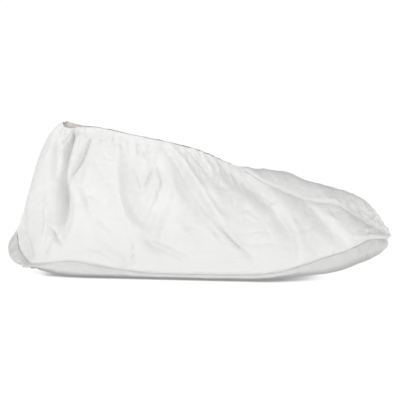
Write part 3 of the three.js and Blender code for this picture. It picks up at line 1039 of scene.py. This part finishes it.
def thread_material(colour):
    """White sewing thread with a fine twist."""
    material, shader, place = new_material("sewing_thread", Sheen_Weight=0.2)
    twist = noise(stretched(place, (5200, 5200, 1800)), 1, 2)
    feed(shader, "Base Color", blended(twist, dimmed(colour, 0.86), colour))
    feed(shader, "Roughness", 0.5 + 0.2 * twist)
    feed(shader, "Normal", bumped(twist, 0.1 * MM, 0.5))
    return material


def floor_material(colour):
    """Evenly glowing studio floor with a painted contact shadow, where its glow dims round
    something that touches it.
    """
    material, shader, place = new_material(
        "studio_floor", Specular_IOR_Level=0.0, Emission_Strength=1.0,
    )
    # Painted contact shadow: ambient occlusion dims the floor's glow near the cover.
    feed(shader, "Emission Color", ramp(open_to_air(place, 7 * MM), (0.15, 0.3), (0.58, 1)))
    tone = noise(place, 3, 2)
    feed(shader, "Base Color", blended(tone, dimmed(colour, 0.985), colour))
    feed(shader, "Roughness", 0.9 + 0.05 * tone)
    return material


def dress(piece, material):
    """Gives a piece its material and its body."""
    piece.data.materials.clear()
    piece.data.materials.append(material)
    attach(piece, "root")


# ---- What a user can change ----

def length(name, description, default):
    return FloatProperty(name=name, description=description, default=default, unit="LENGTH")


def tint(name, description, default):
    return FloatVectorProperty(
        name=name, description=description, default=default, subtype="COLOR",
    )


class CoverSizes(bpy.types.PropertyGroup):
    """Sizes of the cover's cloth and thread."""

    cloth_thickness: length("Cloth thickness", "Thickness of the side panels", 0.00035)
    sole_thickness: length("Sole thickness", "Thickness of the coated sole", 0.0005)
    tape_thickness: length("Tape thickness", "Thickness of the elastic tape", 0.0009)
    tape_width: length("Tape width", "Width of the elastic tape", 0.009)
    stitch_pitch: length("Stitch pitch", "From one stitch of the hem to the next", 0.0026)
    thread_radius: length("Thread radius", "Half the thickness of the sewing thread", 0.00012)


class CoverColours(bpy.types.PropertyGroup):
    """Colours of the cover and the studio floor."""

    upper: tint("Upper", "Colour of the side panels", (0.85, 0.85, 0.843))
    sole: tint("Sole", "Colour of the sole", (0.685, 0.688, 0.672))
    tape: tint("Tape", "Colour of the elastic tape", (0.93, 0.865, 0.82))
    thread: tint("Thread", "Colour of the sewing thread", (0.84, 0.84, 0.84))
    floor: tint("Floor", "Light that the glowing floor reflects as well", (0.04, 0.04, 0.04))


# ---- Operators ----

class COVER_OT_side_panels(bpy.types.Operator):
    """Makes the two nonwoven side panels with their folds"""

    bl_idname = "shoe_cover.side_panels"
    bl_label = "Side panels"

    def execute(self, context):
        shape = cover_shape()
        cloth = nonwoven_material(context.scene.cover_colours.upper)
        thickness = context.scene.cover_sizes.cloth_thickness
        for side, name, node in (
            (NEAR, "near_panel_cloth", "side_panel_near"),
            (FAR, "far_panel_cloth", "side_panel_far"),
        ):
            panel = cloth_mesh(name, shape[side]["points"], -side, thickness)
            dress(panel, cloth)
            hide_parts(node)
        return {"FINISHED"}


class COVER_OT_sole(bpy.types.Operator):
    """Makes the curled-up grip sole"""

    bl_idname = "shoe_cover.sole"
    bl_label = "Sole"

    def execute(self, context):
        thickness = context.scene.cover_sizes.sole_thickness
        sole = cloth_mesh("sole_fabric", cover_shape()["sole"], -1, thickness)
        dress(sole, sole_material(context.scene.cover_colours.sole))
        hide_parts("sole")
        return {"FINISHED"}


class COVER_OT_elastic(bpy.types.Operator):
    """Makes the loop of elastic tape inside the rim"""

    bl_idname = "shoe_cover.elastic"
    bl_label = "Elastic tape"

    def execute(self, context):
        sizes = context.scene.cover_sizes
        loop = tape_loop(cover_shape(), sizes.tape_width / MM, sizes.cloth_thickness / MM)
        tape = cloth_mesh("elastic_tape_loop", loop, -1, sizes.tape_thickness, ring=True)
        dress(tape, elastic_material(context.scene.cover_colours.tape))
        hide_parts("elastic_band")
        return {"FINISHED"}


TAPE_BACK, TAPE_FRONT = 0.95, 10.5    # the sections between which the loop of tape lies
TAPE_START, TAPE_BACK_START = 2.4, 0.3  # from the rim down to the tape, and the same at the back
BACK_CORNER = (3.1, 4.3)       # the sections between which the one changes into the other
TAPE_CLEARANCE = 1.3           # between the inside of the cloth and the tape
TAPE_REACH = 4                 # how many columns to each side the tape smooths over
TAPE_LEAN = 0.6                # how far the tape's lower edge leans in at the back


def tape_loop(shape, width, wall):
    """The tape's outer face, just inside the cloth below the rim."""
    turn = np.linspace(0, 2 * math.pi, TAPE_COLUMNS, endpoint=False)
    places = mix(TAPE_BACK, TAPE_FRONT, (1 - np.cos(turn)) / 2)
    swing = np.sin(turn)
    rounded = np.sign(swing) * np.abs(swing) ** 0.45
    start = mix(TAPE_BACK_START, TAPE_START, smooth_step(*BACK_CORNER, places))
    lean = TAPE_LEAN * (1 - smooth_step(2.2, 4.5, places))
    columns = np.interp(places, shape["places"], np.arange(len(shape["places"])))
    columns = np.round(columns).astype(int)
    loop = []
    for share in np.linspace(0, 1, TAPE_ROWS):
        near, far = (
            sample(
                shape[side]["points"], shape["places"], places,
                rows_below_edge(shape[side]["from_top"][columns], start + share * width),
            )
            for side in (NEAR, FAR)
        )
        middle = mix(near, far, 0.5)
        half = near - middle
        reach = np.linalg.norm(half, axis=1, keepdims=True)
        nearby = range(-TAPE_REACH, TAPE_REACH + 1)
        reach = np.minimum.reduce([np.roll(reach, shift, 0) for shift in nearby])
        half = unit(half) * np.maximum(reach - wall - TAPE_CLEARANCE, 0.5)
        loop.append(middle + half * (rounded * (1 - lean * share))[:, None])
    return np.stack(loop, 1)


STITCH_HALF = 0.36             # half a stitch's length as a share of the pitch
STITCH_SINK = 0.12             # how deep the ends of a stitch go into the cloth
STITCH_BOW = 0.22              # how far its middle bows out


class COVER_OT_threads(bpy.types.Operator):
    """Sews the hem below the rim"""

    bl_idname = "shoe_cover.threads"
    bl_label = "Sewing threads"

    def execute(self, context):
        sizes = context.scene.cover_sizes
        shape = cover_shape()
        pitch = sizes.stitch_pitch / MM
        vertices, faces = [], []
        for side in (NEAR, FAR):
            run = resampled(np.concatenate(hem_line(shape, side), 1), pitch)
            points, ups = run[:, :3], unit(run[:, 3:])
            half = unit(np.gradient(points, axis=0)) * STITCH_HALF * pitch
            points = points - ups * STITCH_SINK
            made, quads = thread_capsules(
                points - half, points + half, ups, sizes.thread_radius / MM, STITCH_BOW,
            )
            offset = sum(len(block) for block in vertices)
            vertices.append(made)
            faces += [tuple(corner + offset for corner in face) for face in quads]
        stitches = new_piece("hem_stitches", np.concatenate(vertices) * MM, faces)
        stitches.data.shade_smooth()
        dress(stitches, thread_material(context.scene.cover_colours.thread))
        return {"FINISHED"}


def hem_line(shape, side):
    """Points along the hem's row of stitches and the cloth's direction out of them."""
    panel = shape[side]
    wanted = shape["places"] < MOUTH_FRONT - 0.25
    wanted[:2] = False
    points = panel["points"][wanted]
    normals = grid_normals(panel["points"], -side)[wanted]
    rows = rows_below_edge(panel["from_top"][wanted], HEM_DEPTH)
    low = np.minimum(rows.astype(int), points.shape[1] - 2)
    t = (rows - low)[:, None]
    pick = np.arange(len(points))
    line = mix(points[pick, low], points[pick, low + 1], t)
    ups = unit(mix(normals[pick, low], normals[pick, low + 1], t))
    return line, ups


# How bright the surroundings are, from straight in front of the near side to straight behind.
SKY_STOPS = ((0.0, 0.54), (0.25, 0.45), (0.5, 0.37), (1.0, 0.3))
HORIZON_STOPS = ((0.055, 1), (0.1, 0))  # a white band just above the floor
LIGHTS = (                     # name, power, softness in degrees, and where it comes from
    ("key_light", 1.02, 14, (-0.62, -0.84, 0.85)),
    ("fill_light", 0.5, 60, (0.7, -0.8, 0.35)),
)
FLOOR_REACH, FLOOR_GAP = 6.0, 0.3 * MM  # half the floor's side, and how far it is below
CAMERA_DISTANCE, CAMERA_ELEVATION = 1.8, math.radians(12)
AIM_RISE = 0.0608              # how far the middle of the view is above the cover's foot
VIEW_WIDTH = 0.3551            # how much of the scene the view takes in at the aim
SENSOR_WIDTH = 36


class COVER_OT_studio(bpy.types.Operator):
    """Sets up the pale floor, the soft light and the camera"""

    bl_idname = "shoe_cover.studio"
    bl_label = "Studio"

    def execute(self, context):
        scene = context.scene
        low, high = CAD_BOX
        middle = (low + high) / 2
        corners = FLOOR_REACH * np.array([(-1, -1, 0), (1, -1, 0), (1, 1, 0), (-1, 1, 0)])
        corners[:, 2] = low.z - FLOOR_GAP
        floor = new_piece("studio_floor", corners, [(0, 1, 2, 3)])
        floor.data.materials.append(floor_material(scene.cover_colours.floor))

        scene.world = bpy.data.worlds.new("studio_sky")
        scene.world.use_nodes = True
        tree = scene.world.node_tree
        sky = Wire(tree, tree.nodes.new("ShaderNodeTexCoord").outputs["Generated"])
        glow = ramp(0.5 + 0.5 * axis_of(sky, "Y"), *SKY_STOPS)
        horizon = ramp(axis_of(sky, "Z"), *HORIZON_STOPS)
        feed(tree.nodes["Background"], "Color", horizon + glow * (1 - horizon))

        for name, power, softness, place in LIGHTS:
            light = bpy.data.lights.new(name, "SUN")
            light.energy = power
            light.angle = math.radians(softness)
            lamp = bpy.data.objects.new(name, light)
            scene.collection.objects.link(lamp)
            lamp.location = middle + Vector(place)
            lamp.rotation_euler = (-Vector(place)).to_track_quat("-Z", "Y").to_euler()

        camera = bpy.data.cameras.new("camera")
        holder = bpy.data.objects.new("camera", camera)
        scene.collection.objects.link(holder)
        scene.camera = holder
        rise, run = math.sin(CAMERA_ELEVATION), math.cos(CAMERA_ELEVATION)
        ground = Vector((middle.x, 0, low.z))
        holder.location = ground - CAMERA_DISTANCE * Vector((0, run, -rise))
        aim = ground + AIM_RISE * Vector((0, rise, run))
        holder.rotation_euler = (aim - holder.location).to_track_quat("-Z", "Y").to_euler()
        camera.sensor_width = SENSOR_WIDTH
        camera.lens = SENSOR_WIDTH * (aim - holder.location).length / VIEW_WIDTH
        camera.clip_end = 50
        scene.view_settings.view_transform = "Standard"
        return {"FINISHED"}


class COVER_PT_sidebar(bpy.types.Panel):
    """Lists the steps that make the shoe cover"""

    bl_idname = "COVER_PT_sidebar"
    bl_label = "Shoe cover"
    bl_space_type = "VIEW_3D"
    bl_region_type = "UI"
    bl_category = "Shoe cover"

    def draw(self, context):
        for group in (context.scene.cover_sizes, context.scene.cover_colours):
            for name in group.__annotations__:
                self.layout.prop(group, name)
        for maker in OPERATORS:
            self.layout.operator(maker.bl_idname)


OPERATORS = (
    COVER_OT_side_panels, COVER_OT_sole, COVER_OT_elastic, COVER_OT_threads, COVER_OT_studio,
)
CLASSES = (CoverSizes, CoverColours, *OPERATORS, COVER_PT_sidebar)


def register():
    for made in CLASSES:
        bpy.utils.register_class(made)
    bpy.types.Scene.cover_sizes = PointerProperty(type=CoverSizes)
    bpy.types.Scene.cover_colours = PointerProperty(type=CoverColours)


def unregister():
    del bpy.types.Scene.cover_sizes
    del bpy.types.Scene.cover_colours
    for made in reversed(CLASSES):
        bpy.utils.unregister_class(made)


def main():
    register()
    bpy.ops.shoe_cover.studio()
    bpy.ops.shoe_cover.side_panels()
    bpy.ops.shoe_cover.sole()
    bpy.ops.shoe_cover.elastic()
    bpy.ops.shoe_cover.threads()


if __name__ == "__main__":
    main()
